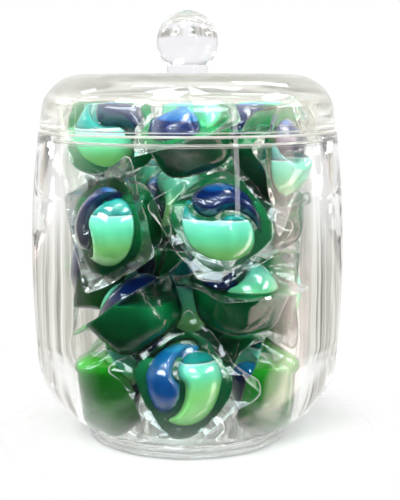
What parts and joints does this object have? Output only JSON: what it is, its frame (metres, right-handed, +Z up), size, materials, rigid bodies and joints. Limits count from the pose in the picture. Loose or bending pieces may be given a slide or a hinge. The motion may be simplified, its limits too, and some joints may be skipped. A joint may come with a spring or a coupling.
{
  "type": "acrylic pod jar",
  "caption": "Round clear acrylic storage jar with a ball-knob lift-off lid, filled with sealed three-chamber washing pods.",
  "frame": {"origin": "on the table under the middle of the jar's foot", "axes": "+Z up along the axis of the jar and its lid; -Y is the side that faces the camera"},
  "size_m": [0.1464, 0.1464, 0.1995],
  "materials": {
    "clear_acrylic": "gloss",
    "pod_film": "gloss"
  },
  "bodies": {
    "jar": {"jar_body": "clear_acrylic", "pod_01": "pod_film", "pod_02": "pod_film", "pod_03": "pod_film", "pod_04": "pod_film", "pod_05": "pod_film", "pod_06": "pod_film", "pod_07": "pod_film", "pod_08": "pod_film", "pod_09": "pod_film", "pod_10": "pod_film", "pod_11": "pod_film", "pod_12": "pod_film", "pod_13": "pod_film", "pod_14": "pod_film", "pod_15": "pod_film", "pod_16": "pod_film", "pod_17": "pod_film", "pod_18": "pod_film", "pod_19": "pod_film", "pod_20": "pod_film", "pod_21": "pod_film", "pod_22": "pod_film", "pod_23": "pod_film"},
    "cover": {"lid": "clear_acrylic", "knob": "clear_acrylic"}
  },
  "joints": [
    {"name": "lid_lift", "type": "slide", "parent": "jar", "child": "cover", "axis": [0, 0, 1], "range_m": [0, 0.08]}
  ]
}
